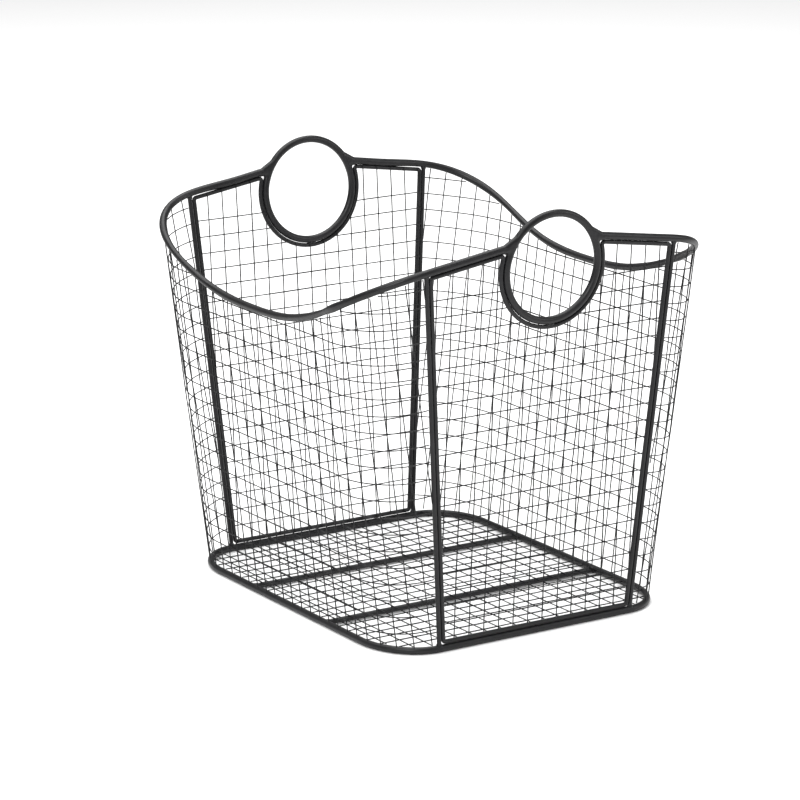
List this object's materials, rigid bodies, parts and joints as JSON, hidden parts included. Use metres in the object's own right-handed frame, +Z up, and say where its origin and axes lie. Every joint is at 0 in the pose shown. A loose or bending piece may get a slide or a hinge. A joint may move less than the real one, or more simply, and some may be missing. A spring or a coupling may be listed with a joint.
{
  "type": "wire produce basket",
  "caption": "Open-topped tapered basket of welded wire mesh on a rod frame, with dipped long sides and a fixed ring handle standing at each end.",
  "frame": {"origin": "centre of the footprint, on the plane that the base ring stands on", "axes": "+Z up; +Y along the basket's length, towards the back ring handle; +X towards the right long side"},
  "size_m": [0.306, 0.3394, 0.3161],
  "materials": {
    "frame_rods": "satin black powder coat",
    "mesh_wire": "satin black powder coat"
  },
  "bodies": {
    "root": {"back_mesh_cross_wires": "mesh_wire", "back_mesh_uprights": "mesh_wire", "base_crossbar_back": "frame_rods", "base_crossbar_front": "frame_rods", "base_mesh_crosswise": "mesh_wire", "base_mesh_lengthwise": "mesh_wire", "base_ring": "frame_rods", "end_frame_back": "frame_rods", "end_frame_front": "frame_rods", "front_mesh_cross_wires": "mesh_wire", "front_mesh_uprights": "mesh_wire", "left_mesh_cross_wires": "mesh_wire", "left_mesh_uprights": "mesh_wire", "post_back_left": "frame_rods", "post_back_right": "frame_rods", "post_front_left": "frame_rods", "post_front_right": "frame_rods", "right_mesh_cross_wires": "mesh_wire", "right_mesh_uprights": "mesh_wire", "rim_rod_left": "frame_rods", "rim_rod_right": "frame_rods", "ring_handle_back": "frame_rods", "ring_handle_front": "frame_rods"}
  },
  "joints": []
}
